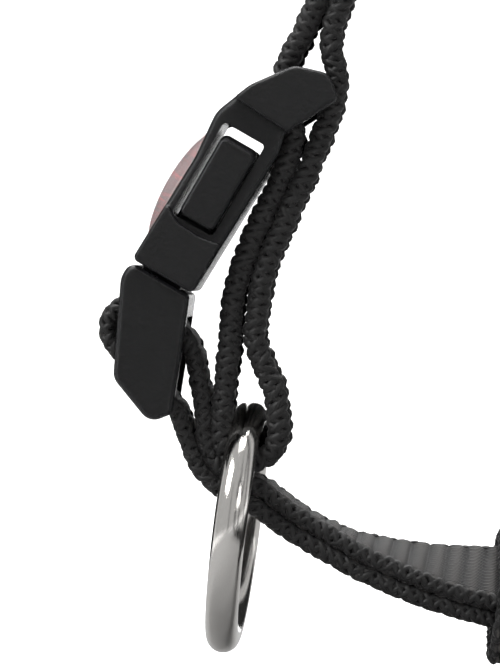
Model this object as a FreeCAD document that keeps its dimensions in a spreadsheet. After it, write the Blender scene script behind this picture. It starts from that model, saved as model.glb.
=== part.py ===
import FreeCAD, Part
import math
import os

from FreeCAD import Placement, Rotation, Vector

# A head halter for a dog, standing as it is worn: a neck loop in the XZ plane, a noseband in
# front of it (-Y), a contoured side release buckle and a lead ring at the neck loop's lower left.
# The layout is drawn about a datum on the neck loop's plane beside the buckle, and every sub-part's
# Placement carries it to the part's origin, on the floor under the middle of the bounding box.

DIMENSIONS = {
    # where the layout's datum lies in the part's frame
    "datum_x": -64.5558, "datum_y": 43.2984, "datum_z": 38.7408,
    # webbing
    "webbing_width": 14.6, "webbing_thickness": 1.7, "layer_pitch": 2.03, "turn_width": 12.0,
    "turn_thickness": 1.5, "cheek_strap_width": 10.0, "ring_gap": 0.35,
    # neck loop and head
    "head_middle": 72.0, "nose_forward": 85.0, "chin_level": -35.75, "strap_twist": 23.0,
    # lead ring
    "lead_ring_wire": 1.85, "lead_ring_radius": 12.5, "lead_ring_lean": 7.0, "lead_ring_turn": 2.3,
    # cheek rings
    "cheek_ring_wire": 1.5, "cheek_ring_radius": 14.5, "cheek_ring_side": 33.0,
    "cheek_ring_height": 10.0, "cheek_strap_rise": 20.0,
    # side release buckle
    "buckle_width": 21.5, "buckle_lean": 60.0, "buckle_half_height": 3.9, "core_width": 20.3,
    "buckle_edge_round": 0.9, "band_edge_round": 0.5, "cavity_width": 18.4, "cavity_height": 5.3, "cavity_depth": 19.0,
    "window_start": 6.6, "window_end": 18.4, "webbing_slot_width": 16.0,
    "male_width": 21.0, "turn_bar_radius": 1.5, "guide_width": 5.0, "guide_length": 12.0,
    "turn_cut": -10.6, "turn_gap": 0.36,
    # release arms
    "arm_start": 1.4, "arm_end": 17.3, "arm_offset": -0.2, "arm_height": 4.5, "arm_thickness": 2.2,
    "button_start": 7.1, "button_thickness": 4.4, "button_round": 0.8, "arm_outer": 9.0,
    "button_outer": 10.6,
    # badge
    "badge_middle": 9.7, "badge_length": 17.0, "badge_width": 15.2, "badge_rise": 3.2,
    "badge_sink": 1.75, "inlay_thickness": 0.25, "seat_width": 15.6, "seat_depth": 0.6,
    # keeper, jaw strap, slide, padding
    "keeper_start": 27.6, "keeper_length": 14.6, "keeper_gap": 0.4, "keeper_corner": 0.8,
    "slider_length": 13.0, "slider_width": 21.0, "slider_window": 17.0, "slider_height": 8.4,
    "slider_slot": 2.6, "slider_bridge": 0.8, "slider_forward": 42.0, "leg_spread": 1.7,
    "slider_lift": 2.0, "pad_thickness": 4.6, "pad_width": 19.0,
    # stitching
    "stitch_height": 0.28, "stitch_lift": 0.12, "tack_length": 1.2, "tack_width": 8.0,
}

doc = FreeCAD.newDocument("head_halter")
sheet = doc.addObject("Spreadsheet::Sheet", "Dimensions")
for row, (alias, value) in enumerate(DIMENSIONS.items(), start=1):
    sheet.set(f"A{row}", alias)
    sheet.set(f"B{row}", str(value))
    sheet.setAlias(f"B{row}", alias)
doc.recompute()

SUBPARTS = []
ACROSS = Vector(0, 1, 0)


def dim(alias):
    """The value of one cell of the sheet."""
    return float(sheet.get(alias))


def bind(item, **expressions):
    """Bind properties of an object to expressions in the sheet's aliases."""
    for prop, expression in expressions.items():
        item.setExpression(prop, expression)


def on_sheet(expression):
    """Write an expression with each alias read from the sheet."""
    words = expression.replace("(", " ( ").replace(")", " ) ").split()
    return " ".join(f"Dimensions.{word}" if word in DIMENSIONS else word for word in words)


def datum():
    """The layout's datum in the part's frame."""
    return Vector(dim("datum_x"), dim("datum_y"), dim("datum_z"))


def finish(item, label, place=None):
    """Give a sub-part its name and its place, and list it for export."""
    item.Label = label
    place = place or Placement()
    item.Placement = Placement(datum(), Rotation()).multiply(place)
    SUBPARTS.append(item)
    return item


# ---------------------------------------------------------------- webbing

def smooth_route(points, step):
    """A smooth line through points of any dimension: Hermite spans with chord length knots."""
    reach = [math.dist(a[:3], b[:3]) for a, b in zip(points, points[1:])]
    slopes = []
    for i, point in enumerate(points):
        before, after = max(i - 1, 0), min(i + 1, len(points) - 1)
        if before == i or after == i:
            length = sum(reach[before:after])
            slopes.append([(b - a) / length for a, b in zip(points[before], points[after])])
            continue
        back, ahead = reach[i - 1], reach[i]
        slopes.append([
            ((c - b) / ahead * back + (b - a) / back * ahead) / (back + ahead)
            for a, b, c in zip(points[before], point, points[after])
        ])
    samples = []
    for i, length in enumerate(reach):
        count = max(2, round(length / step))
        for k in range(count):
            u = k / count
            blend = (2 * u**3 - 3 * u**2 + 1, u**3 - 2 * u**2 + u, 3 * u**2 - 2 * u**3, u**3 - u**2)
            samples.append([
                blend[0] * p + blend[1] * length * m + blend[2] * q + blend[3] * length * n
                for p, m, q, n in zip(points[i], slopes[i], points[i + 1], slopes[i + 1])
            ])
    samples.append(list(points[-1]))
    return samples


def band_section(middle, along, across, thickness):
    """The closed rectangle of a strap's section. across is as long as the strap is wide."""
    width = across.Length
    across = (across - along * across.dot(along)).normalize()
    face = along.cross(across)
    side, rise = across * (width / 2), face * (thickness / 2)
    corners = [middle - side - rise, middle + side - rise, middle + side + rise, middle - side + rise]
    return Part.makePolygon(corners + corners[:1])


def directions_along(middles, first=None, last=None):
    """The unit direction of a sampled line at each of its points, with given end directions."""
    top = len(middles) - 1
    found = [(middles[min(i + 1, top)] - middles[max(i - 1, 0)]).normalize() for i in range(top + 1)]
    return [first or found[0]] + found[1:-1] + [last or found[-1]]


def flat_band(points, across=ACROSS, step=1.6, width=None, thickness=None, first=None, last=None):
    """A strap whose route lies in one plane: its two faces and two ends as one outline, extruded."""
    width = width or dim("webbing_width")
    thickness = thickness or dim("webbing_thickness")
    middles = [Vector(*row) for row in smooth_route([tuple(p) for p in points], step)]
    rises = [along.cross(across) * (thickness / 2) for along in directions_along(middles, first, last)]
    corners = [m + r for m, r in zip(middles, rises)] + [m - r for m, r in zip(middles, rises)][::-1]
    outline = Part.makePolygon(corners + corners[:1])
    outline.translate(across * (-width / 2))
    shape = Part.Face(outline).extrude(across * width)
    report_band(shape, middles, width * thickness)
    return shape


def twisted_band(points, widthwise, step=1.6, first=None, last=None):
    """A strap lofted along a route. widthwise holds the strap's width direction at each point,
    each as long as the strap is wide."""
    thickness = dim("webbing_thickness")
    samples = smooth_route([tuple(p) + tuple(w) for p, w in zip(points, widthwise)], step)
    middles = [Vector(*row[:3]) for row in samples]
    shape = Part.makeLoft([
        band_section(middle, along, Vector(*row[3:]), thickness)
        for middle, along, row in zip(middles, directions_along(middles, first, last), samples)
    ], True, False)
    report_band(shape, middles, widthwise[0].Length * thickness)
    return shape


def report_band(shape, middles, section):
    """Print a strap's length and how its volume compares with section times length."""
    length = sum((b - a).Length for a, b in zip(middles, middles[1:]))
    print(f"  band {length:.1f} mm, volume ratio {shape.Volume / (length * section):.3f}")


def strap(label, shape):
    """A length of webbing as one sub-part."""
    item = doc.addObject("Part::Feature", label)
    item.Shape = shape
    return finish(item, label)


def flat(pairs, depth=0.0):
    """Points of a route in the neck loop's plane, or in a plane beside it."""
    return [Vector(x, depth, z) for x, z in pairs]


def mirrored(points):
    """The same route on the other side of the head."""
    return [Vector(2 * dim("head_middle") - p.x, p.y, p.z) for p in points]


def twisted(points, start, full, home, end):
    """Width directions of a strap that twists up to its full angle and back again along X."""
    directions = []
    for point in points:
        rising = min(max((point.x - start) / (full - start), 0), 1)
        falling = min(max((end - point.x) / (end - home), 0), 1)
        angle = math.radians(dim("strap_twist")) * min(rising, falling)
        directions.append(Vector(0, math.cos(angle), math.sin(angle)) * dim("webbing_width"))
    return directions


# The neck strap comes over the top, runs down the inner side, turns round the lead ring, runs up
# through the female buckle half and is sewn to itself. The sub-parts meet end to end.
UPWARD = Vector(0, 0, 1)
SHOULDER_LEFT, SHOULDER_RISE = (24.0, 62.5), Vector(1, 0, 1).normalize()
SHOULDER_RIGHT, SHOULDER_FALL = (120.0, 62.5), Vector(0.7, 0, -0.72).normalize()
NECK_INNER = flat([
    (0.5, -0.4), (0.9, 3.2), (1.3, 5.9), (2.5, 9.4), (4.0, 12.9), (5.2, 15.5), (6.2, 17.6),
    (7.1, 20.0), (8.1, 22.4), (9.0, 24.8), (9.6, 27.2), (9.6, 29.5), (9.1, 31.6), (9.1, 33.6),
    (10.2, 37.0), (12.6, 42.6), (17.0, 51.5), SHOULDER_LEFT,
])
NECK_OUTER = flat([
    (-2.3, -0.4), (-2.1, 2.7), (-1.6, 5.4), (-0.3, 9.4), (1.0, 12.5), (2.1, 14.7), (3.4, 17.5),
    (4.3, 19.9), (4.8, 22.3), (4.2, 24.6), (3.6, 26.9), (3.7, 29.0), (4.6, 31.2), (5.7, 33.2),
    (7.4, 37.0), (10.4, 43.0), (15.1, 52.5), (19.0, 58.8),
])
RING_LOOP = flat([
    (-2.3, -0.4), (-2.6, -3.6), (-2.9, -6.4), (-3.2, -9.0), (-3.4, -11.0), (-2.9, -12.9),
    (-1.5, -14.0), (0.0, -14.2), (1.6, -13.9), (2.8, -12.7), (3.2, -10.9), (3.05, -8.9),
    (2.7, -6.4), (1.5, -3.6), (0.5, -0.4),
])
NECK_TOP = flat([
    SHOULDER_LEFT, (38.0, 76.5), (54.0, 86.0), (72.0, 89.4), (90.0, 86.0), (106.0, 76.5),
    SHOULDER_RIGHT,
])
BEHIND_CHIN = (89.0, dim("chin_level"))
NECK_RIGHT = flat([
    SHOULDER_RIGHT, (132.0, 47.0), (141.0, 29.0), (145.0, 10.0), (143.0, -8.0), (134.0, -22.5),
    (121.0, -30.8), (106.0, -34.6), BEHIND_CHIN,
])
# The throat strap passes through the lead ring to the male buckle half and turns round its bar.
THROAT = flat([
    BEHIND_CHIN, (78.0, dim("chin_level")), (65.5, dim("chin_level")), (58.5, -34.6), (52.0, -32.6),
    (46.0, -30.75), (36.0, -29.1), (25.3, -27.4), (20.8, -26.6), (16.3, -25.4), (11.8, -23.9),
    (8.4, -22.2), (5.6, -20.6), (3.4, -19.0), (1.3, -17.45),
])
INTO_RING = Vector(-0.857, 0, 0.516).normalize()
BAR_TURN = flat([
    (1.3, -17.45), (-1.0, -16.35), (-2.7, -15.5), (-3.95, -14.45), (-4.75, -13.0), (-5.15, -11.2),
    (-5.25, -9.3), (-5.5, -7.0), (-6.0, -4.4), (-6.5, -1.9), (-7.8, 0.2), (-10.1, 1.9),
    (-12.2, 3.2), (-14.3, 3.2), (-15.8, 1.6), (-15.8, -0.5), (-14.4, -2.3), (-12.3, -4.3),
    (-10.0, -6.6), (-8.2, -8.8), (-7.4, -10.85), (-6.6, -13.1), (-5.6, -15.2), (-4.1, -16.8),
    (-2.2, -18.0),
])


def tail_route():
    """The free tail lies under the throat strap: its route and its width directions."""
    over = [point for point in THROAT if point.x < 58.0]
    widthwise = twisted(THROAT, 9.5, 29.0, 44.0, 62.0)[-len(over):]
    route = []
    for i, point in enumerate(over):
        along = (over[min(i + 1, len(over) - 1)] - over[max(i - 1, 0)]).normalize()
        if point is over[-1]:
            along = INTO_RING
        below = along.cross(widthwise[i]).normalize()
        route.append(point + below * dim("layer_pitch"))
    return route, widthwise


def beyond_cut(offset):
    """The space on the male half's side of a plane that its slide runs along."""
    box = Part.makeBox(120, 40, 60, Vector(-60, -20, dim("turn_cut") + offset))
    box.Placement = buckle_place()
    return box


def neck_loop():
    """The neck strap's lengths and the free tail that lies under it."""
    strap("neck_strap_inner", flat_band(NECK_INNER, first=UPWARD, last=SHOULDER_RISE))
    strap("neck_strap_outer", flat_band(NECK_OUTER, first=UPWARD))
    strap("neck_strap_ring_turn", flat_band(
        RING_LOOP, step=0.9, width=dim("turn_width"), thickness=dim("turn_thickness"),
        first=-UPWARD, last=UPWARD,
    ))
    strap("neck_strap_top", flat_band(NECK_TOP, step=3.0, first=SHOULDER_RISE, last=SHOULDER_FALL))
    strap("neck_strap_right", flat_band(
        NECK_RIGHT, step=3.0, first=SHOULDER_FALL, last=Vector(-1, 0, 0),
    ))
    tail_points, tail_widths = tail_route()
    turn = flat_band(BAR_TURN + tail_points[-1:], step=0.9, first=INTO_RING, last=-INTO_RING)
    gap = dim("turn_gap") / 2
    legs = sorted(turn.cut(beyond_cut(-gap)).Solids, key=lambda leg: leg.CenterOfMass.z)
    throat = twisted_band(
        THROAT, twisted(THROAT, 9.5, 29.0, 44.0, 62.0), first=Vector(-1, 0, 0), last=INTO_RING,
    )
    strap("throat_strap", throat.fuse(legs[1]))
    strap("adjuster_tail", twisted_band(tail_points, tail_widths, last=INTO_RING).fuse(legs[0]))
    strap("adjuster_turn", turn.common(beyond_cut(gap)))


# ---------------------------------------------------------------- rings

def ring(label, radius, wire, middle, rotation):
    """A welded wire ring."""
    item = doc.addObject("Part::Torus", label)
    bind(item, Radius1=on_sheet(radius), Radius2=on_sheet(wire))
    doc.recompute()
    return finish(item, label, Placement(middle, rotation))


LEAD_RING_TOP = Vector(-0.15, 0, -9.5)


def lead_ring():
    """The lead ring hangs in the neck strap's turn, and leans a little to the left."""
    lean = math.radians(dim("lead_ring_lean"))
    top = LEAD_RING_TOP
    middle = top - Vector(math.sin(lean), 0, math.cos(lean)) * dim("lead_ring_radius")
    turned = Rotation(Vector(0, 0, 1), -dim("lead_ring_turn"))
    middle = top + turned.multVec(middle - top)
    facing = turned * Rotation(ACROSS, 90 + dim("lead_ring_lean"))
    ring("lead_ring", "lead_ring_radius", "lead_ring_wire", middle, facing)


def cheek_rings():
    """One ring at each side of the noseband."""
    for label, side in (("cheek_ring_left", -1), ("cheek_ring_right", 1)):
        middle = Vector(
            dim("head_middle") + side * dim("cheek_ring_side"), -dim("nose_forward"),
            dim("cheek_ring_height"),
        )
        ring(label, "cheek_ring_radius", "cheek_ring_wire", middle, Rotation(ACROSS, 90))


# ---------------------------------------------------------------- buckle

def rounded_outline(corners):
    """Lines and tangent arcs of a closed outline. Each corner is (x, y, radius)."""
    pieces, ends = [], []
    count = len(corners)
    for i, (x, y, radius) in enumerate(corners):
        here = Vector(x, y, 0)
        back = (Vector(*corners[i - 1][:2], 0) - here).normalize()
        ahead = (Vector(*corners[(i + 1) % count][:2], 0) - here).normalize()
        half = back.getAngle(ahead) / 2
        if not radius:
            ends.append((here, here))
            continue
        reach = radius / math.tan(half)
        middle = here + (back + ahead).normalize() * (radius / math.sin(half) - radius)
        ends.append((here + back * reach, here + ahead * reach))
        pieces.append(Part.Arc(ends[-1][0], middle, ends[-1][1]))
    for i in range(count):
        pieces.append(Part.LineSegment(ends[i][1], ends[(i + 1) % count][0]))
    return pieces


def new_body(label):
    """An empty PartDesign body."""
    return doc.addObject("PartDesign::Body", label)


def profile(body, name, corners):
    """A sketch of a closed outline on the body's XZ plane."""
    sketch = body.newObject("Sketcher::SketchObject", name)
    plane = next(f for f in body.Origin.OriginFeatures if f.Role == "XZ_Plane")
    sketch.AttachmentSupport = [(plane, "")]
    sketch.MapMode = "FlatFace"
    for piece in rounded_outline(corners):
        sketch.addGeometry(piece, False)
    return sketch


def pad(body, name, corners, length):
    """Add the outline's solid, centred on the XZ plane."""
    feature = body.newObject("PartDesign::Pad", name)
    feature.Profile = profile(body, name + "_outline", corners)
    feature.Midplane = True
    bind(feature, Length=on_sheet(length))
    doc.recompute()
    return feature


def pocket(body, name, corners, length):
    """Cut the outline's solid, centred on the XZ plane, and make sure that it cuts."""
    before = body.Shape.Volume
    feature = body.newObject("PartDesign::Pocket", name)
    feature.Profile = profile(body, name + "_outline", corners)
    feature.Midplane = True
    bind(feature, Length=on_sheet(length))
    doc.recompute()
    assert body.Shape.Volume < before, f"{name} cuts nothing"
    return feature


def round_edges(body, name, base, wanted, radius):
    """Fillet the edges of the base feature that pass a test."""
    names = [f"Edge{i + 1}" for i, edge in enumerate(base.Shape.Edges) if wanted(edge)]
    feature = body.newObject("PartDesign::Fillet", name)
    feature.Base = (base, names)
    bind(feature, Radius=on_sheet(radius))
    doc.recompute()
    return feature


def on_side(half_width):
    """A test for the edges that lie in a solid's two side faces."""
    def wanted(edge):
        ys = [abs(v.Point.y) for v in edge.Vertexes]
        return all(abs(y - half_width) < 1e-4 for y in ys)
    return wanted


def box_outline(x_from, x_to, y_from, y_to, radius=0.0):
    """The corners of an upright rectangle."""
    ends = [(x_from, y_from), (x_to, y_from), (x_to, y_to), (x_from, y_to)]
    return [(x, y, radius) for x, y in ends]


# The buckle's own frame has X from the male half to the female half's strap end, Y across the
# webbing and Z out of the face that points away from the neck. Its zero is the joint of the halves.
BUCKLE_JOINT = Vector(-9.7, 0, 6.4)


def buckle_place():
    """The Placement of every piece drawn in the buckle's frame."""
    return Placement(BUCKLE_JOINT, Rotation(ACROSS, -dim("buckle_lean")))


def buckle_female():
    """The female half: a sleeve with side windows, and a curved strap end with its slot."""
    body = new_body("buckle_female")
    half = dim("buckle_half_height")
    base = pad(body, "shell", [
        (0.0, half, 0.7), (13.5, half - 0.4, 12.0), (18.9, half + 0.1, 4.0), (23.4, 2.2, 5.0),
        (27.7, -1.0, 2.0), (28.9, -4.9, 2.0), (26.9, -7.2, 0.9), (20.6, -3.9, 1.5),
        (18.3, -4.4, 1.5), (0.0, -half, 0.7),
    ], "core_width")
    body.Tip = round_edges(
        body, "soft_edges", base, on_side(dim("core_width") / 2), "buckle_edge_round"
    )
    collar = pad(body, "collar", [
        (0.0, half, 0.7), (7.5, half - 2 / 9, 0.3), (6.1, 1.6, 3.0), (5.9, -1.5, 6.0),
        (6.4, -half, 0.3), (0.0, -half, 0.7),
    ], "buckle_width")
    body.Tip = round_edges(
        body, "collar_edges", collar, on_side(dim("buckle_width") / 2), "band_edge_round"
    )
    strap_end = pad(body, "strap_end", [
        (21.2, 3.08, 0.4), (23.4, 2.2, 5.0), (27.7, -1.0, 2.0), (28.9, -4.9, 2.0),
        (26.9, -7.2, 0.9), (20.81, -4.01, 0.4),
    ], "buckle_width")
    body.Tip = round_edges(
        body, "strap_end_edges", strap_end, on_side(dim("buckle_width") / 2), "band_edge_round"
    )
    height = dim("cavity_height") / 2
    cavity_end = dim("cavity_depth")
    pocket(body, "cavity", box_outline(-1, cavity_end, -height, height), "cavity_width")
    window = box_outline(dim("window_start"), dim("window_end"), -height, height, 0.6)
    pocket(body, "windows", window, "buckle_width + 2")
    pocket(body, "webbing_slot", [
        (27.6, 4.2, 0), (24.0, 2.2, 0), (19.6, -5.2, 0), (23.9, -7.4, 0), (25.4, -2.6, 0),
        (29.2, -1.2, 0),
    ], "webbing_slot_width")
    pocket(body, "inner_strap_room", [
        (31.0, -3.4, 0), (28.2, -3.4, 0), (27.0, -4.7, 0), (24.3, -5.0, 0), (23.0, -9.0, 0),
        (31.0, -9.0, 0),
    ], "webbing_slot_width")
    floor = half - dim("seat_depth")
    pocket(body, "badge_seat", box_outline(1.3, 18.3, floor, half + 2), "seat_width")
    finish(body, "buckle_female", buckle_place())


def buckle_male():
    """The male half: a curved frame with a bar for the webbing, and a guide inside the sleeve."""
    body = new_body("buckle_male")
    base = pad(body, "frame", [
        (-0.3, -3.7, 0.6), (-0.3, 3.9, 1.2), (-2.4, 4.0, 3.0), (-12.6, -0.9, 2.0),
        (-14.9, -6.9, 1.8), (-12.8, -8.6, 0.9), (-6.8, -6.3, 12.0),
    ], "male_width")
    rounded = round_edges(
        body, "soft_edges", base, on_side(dim("male_width") / 2), "buckle_edge_round"
    )
    body.Tip = rounded
    pocket(body, "webbing_window", [
        (-2.6, -9.5, 0), (-2.6, 6.0, 0), (-12.5, 6.0, 0), (-12.6, -5.0, 0), (-13.6, -9.5, 0),
    ], "webbing_slot_width")
    bar = dim("turn_bar_radius")
    pad(body, "turn_bar", box_outline(-6.75 - bar, -6.75 + bar, -bar, bar, bar * 0.98),
        "webbing_slot_width + 1")
    pad(body, "plug", box_outline(-0.8, 1.2, -2.4, 2.4), "cavity_width - 0.6")
    pad(body, "guide", box_outline(0.6, dim("guide_length"), -2.0, 2.0, 0.5), "guide_width")
    finish(body, "buckle_male", buckle_place())


def release_arm(label, side):
    """A bending arm with the button that shows in the sleeve's side window."""
    body = new_body(label)
    sketch = body.newObject("Sketcher::SketchObject", label + "_plan")
    plane = next(f for f in body.Origin.OriginFeatures if f.Role == "XY_Plane")
    sketch.AttachmentSupport = [(plane, "")]
    sketch.MapMode = "FlatFace"
    start, end, step = dim("arm_start"), dim("arm_end"), dim("button_start")
    outer, button = side * dim("arm_outer"), side * dim("button_outer")
    inner = side * (dim("arm_outer") - dim("arm_thickness"))
    deep = side * (dim("button_outer") - dim("button_thickness"))
    for piece in rounded_outline([
        (start, inner, 0.3), (start, outer, 0.3), (step, outer, 0), (step, button, 0.25),
        (end, button, 1.4), (end, deep, 1.0), (step + 1.5, deep, 1.5), (step, inner, 0.8),
    ]):
        sketch.addGeometry(piece, False)
    feature = body.newObject("PartDesign::Pad", label + "_solid")
    feature.Profile = sketch
    feature.Midplane = True
    bind(feature, Length=on_sheet("arm_height"))
    doc.recompute()
    half = dim("arm_height") / 2

    def outer_edge(edge):
        points = [v.Point for v in edge.Vertexes]
        level = all(abs(abs(p.z) - half) < 1e-4 for p in points)
        return level and all(abs(p.y) > abs(outer) + 0.1 for p in points)

    body.Tip = round_edges(body, label + "_soft", feature, outer_edge, "button_round")
    finish(body, label, buckle_place() * Placement(Vector(0, 0, dim("arm_offset")), Rotation()))


def badge():
    """A plain domed oval seated in the female half's outer face, over a plain inlay."""
    seat = dim("buckle_half_height") - dim("seat_depth") + 0.02
    top_of_inlay = seat + dim("inlay_thickness")
    for label, floor, height in (
        ("badge_inlay", seat, "inlay_thickness"),
        ("badge_dome", top_of_inlay, "badge_rise"),
    ):
        dome = doc.addObject("Part::Ellipsoid", label + "_oval")
        bind(dome, Radius1=on_sheet("badge_rise"), Radius2=on_sheet("badge_length / 2"),
             Radius3=on_sheet("badge_width / 2"))
        middle = Vector(dim("badge_middle"), 0, dim("buckle_half_height") - dim("badge_sink"))
        dome.Placement = Placement(middle, Rotation())
        slab = doc.addObject("Part::Box", label + "_slab")
        bind(slab, Length=on_sheet("badge_length"), Width=on_sheet("badge_width"),
             Height=on_sheet(height))
        corner = Vector(dim("badge_middle") - dim("badge_length") / 2, -dim("badge_width") / 2, floor)
        slab.Placement = Placement(corner, Rotation())
        item = doc.addObject("Part::Common", label)
        item.Base, item.Tool = dome, slab
        doc.recompute()
        finish(item, label, buckle_place())


# ---------------------------------------------------------------- keeper, jaw strap, slider

def tail_keeper():
    """A short sleeve of webbing round the throat strap and its tail, overlapped underneath."""
    body = doc.addObject("Part::Feature", "tail_keeper")
    length, gap = dim("keeper_length"), dim("keeper_gap")
    sheet_thickness = dim("webbing_thickness")
    half_width = dim("webbing_width") / 2 + gap
    half_height = (dim("layer_pitch") + sheet_thickness) / 2 + gap
    corner = dim("keeper_corner")

    def sleeve(grow):
        outline = rounded_outline(box_outline(
            -half_width - grow, half_width + grow, -half_height - grow, half_height + grow,
            corner + grow,
        ))
        wire = Part.Wire(Part.__sortEdges__([piece.toShape() for piece in outline]))
        return Part.Face(wire).extrude(Vector(0, 0, length))

    lap_width = 2 * half_width - 2
    lap = Part.makeBox(lap_width, sheet_thickness, length, Vector(
        -lap_width / 2, -half_height - 2 * sheet_thickness, 0))
    body.Shape = sleeve(sheet_thickness).cut(sleeve(0)).fuse(lap).removeSplitter()
    straight = THROAT[5] - THROAT[6]
    drop = math.degrees(math.atan2(straight.z, straight.x))
    lie_along = Rotation(ACROSS, -drop) * Rotation(Vector(1, 0, 0), dim("strap_twist"))
    stand_up = Rotation(Vector(1, 1, 1), 120)
    start = THROAT[5] + straight * ((dim("keeper_start") - THROAT[5].x) / straight.x)
    middle = start - lie_along.multVec(UPWARD) * (dim("layer_pitch") / 2)
    finish(body, "tail_keeper", Placement(middle, lie_along * stand_up))


def jaw_route():
    """The jaw strap's closed loop round the neck strap and the chin strap, in the middle plane."""
    level = dim("chin_level")
    rear, front = 9.4, -dim("nose_forward") - 9.4
    low, top = level - 2.0, level + 2.0
    middle = level + dim("slider_lift")
    upper, lower = middle + dim("leg_spread"), middle - dim("leg_spread")
    bend = level - low
    slant = bend * math.sqrt(0.5)

    def turn(end, side):
        """The half circle of points at one end, from the lower leg to the upper."""
        centre = end - side * bend
        return [
            (centre - side * 1.2, low), (centre, low), (centre + side * slant, level - slant),
            (end, level), (centre + side * slant, level + slant), (centre, top),
            (centre - side * 1.2, top),
        ]

    pairs = [(0.3, low)] + turn(rear, 1) + [
        (0, top), (-8, top), (-16, top + 0.5), (-25, upper), (-42, upper), (-60, upper),
        (front + 26, top + 0.5), (front + 18, top), (front + 9, top),
    ] + turn(front, -1)[::-1] + [
        (front + 9, low), (front + 18, low), (front + 26, low + 0.8), (-60, lower), (-42, lower),
        (-25, lower), (-16, low + 0.8), (-8, low), (-0.3, low),
    ]
    return [Vector(dim("head_middle"), y, z) for y, z in pairs]


def jaw_strap():
    """The strap under the jaw, from the neck loop forward to the noseband."""
    strap("jaw_strap", flat_band(jaw_route(), across=Vector(1, 0, 0), step=0.9))


def jaw_slider():
    """A three bar slide that sets the jaw strap's length."""
    width, height, window = dim("slider_width"), dim("slider_height"), dim("slider_window")
    body = new_body("jaw_slider")
    sketch = body.newObject("Sketcher::SketchObject", "slider_section")
    plane = next(f for f in body.Origin.OriginFeatures if f.Role == "XZ_Plane")
    sketch.AttachmentSupport = [(plane, "")]
    sketch.MapMode = "FlatFace"
    near, far = dim("slider_bridge") / 2, dim("slider_bridge") / 2 + dim("slider_slot")
    outer = rounded_outline(box_outline(-width / 2, width / 2, -height / 2, height / 2, 1.2))
    upper = rounded_outline(box_outline(-window / 2, window / 2, near, far, 0.3))
    lower = rounded_outline(box_outline(-window / 2, window / 2, -far, -near, 0.3))
    for piece in outer + upper + lower:
        sketch.addGeometry(piece, False)
    feature = body.newObject("PartDesign::Pad", "slider_solid")
    feature.Profile = sketch
    feature.Midplane = True
    bind(feature, Length=on_sheet("slider_length"))
    doc.recompute()
    height_above = dim("chin_level") + dim("slider_lift")
    middle = Vector(dim("head_middle"), -dim("slider_forward"), height_above)
    finish(body, "jaw_slider", Placement(middle, Rotation()))


# ---------------------------------------------------------------- noseband

def hook_depth(radius, wire, width):
    """How far inside a ring's wire a strap of this width has to turn to clear the bent wire."""
    inside = math.sqrt((radius - wire) ** 2 - (width / 2) ** 2)
    return radius - inside + dim("ring_gap") + dim("webbing_thickness") / 2


def hook(width):
    """A strap end that turns round a cheek ring's wire and comes back to be sewn to itself.
    Each point is (across the wire, away from the ring's middle), from the sewn end onward."""
    wire = dim("cheek_ring_wire")
    side = wire + dim("ring_gap") + dim("webbing_thickness") / 2
    deep = hook_depth(dim("cheek_ring_radius"), wire, width)
    return [
        (0.95, 12.5), (1.15, 10.0), (side - 0.35, 5.5), (side + 0.1, 1.5), (side, -deep + 2.6),
        (side * 0.62, -deep + 0.7), (0, -deep), (-side * 0.62, -deep + 0.7), (-side, -deep + 2.6),
        (-side - 0.1, 1.5), (-side + 0.35, 5.5), (-1.15, 10.0), (-0.95, 12.5),
    ]


def nose_parts():
    """The noseband over the nose, its padding, and the chin strap below."""
    left = dim("head_middle") - dim("cheek_ring_side")
    depth, level = -dim("nose_forward"), dim("chin_level")
    top_wire = dim("cheek_ring_height") + dim("cheek_ring_radius")
    bottom_wire = dim("cheek_ring_height") - dim("cheek_ring_radius")
    turned = hook(dim("webbing_width"))
    upper = flat([(left + x, top_wire + reach) for x, reach in turned], depth)
    over = flat([(left + 4.0, 45.5), (left + 15.5, 52.0), (72.0, 54.4)], depth)
    noseband_half = upper + over
    noseband = noseband_half + mirrored(noseband_half)[::-1][1:]
    strap("noseband", flat_band(noseband, step=1.2))
    lower = flat([(left + x, bottom_wire - reach) for x, reach in turned], depth)
    under = flat([
        (left + 2.5, -24.0), (left + 10.5, -32.2), (left + 21.0, level + 0.6), (left + 25.0, level),
        (72.0, level),
    ], depth)
    chin_half = lower + under
    chin = chin_half + mirrored(chin_half)[::-1][1:]
    strap("chin_strap", flat_band(chin, step=1.2))
    inset = (dim("pad_thickness") + dim("webbing_thickness")) / 2 + 0.15
    pad_half = flat([
        (left + 6.6, 43.2), (left + 16.6, 52.0 - inset * 0.97), (72.0, 54.4 - inset),
    ], depth)
    padding = flat_band(pad_half + mirrored(pad_half)[::-1][1:], step=2.0, width=dim("pad_width"),
                        thickness=dim("pad_thickness"))
    strap("noseband_pad", padding)
    tacks("nose_stitching", [
        on_face(points, index, ACROSS, side)
        for points, side in ((noseband, 1), (chin, -1)) for index in (11, -12)
    ])


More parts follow.
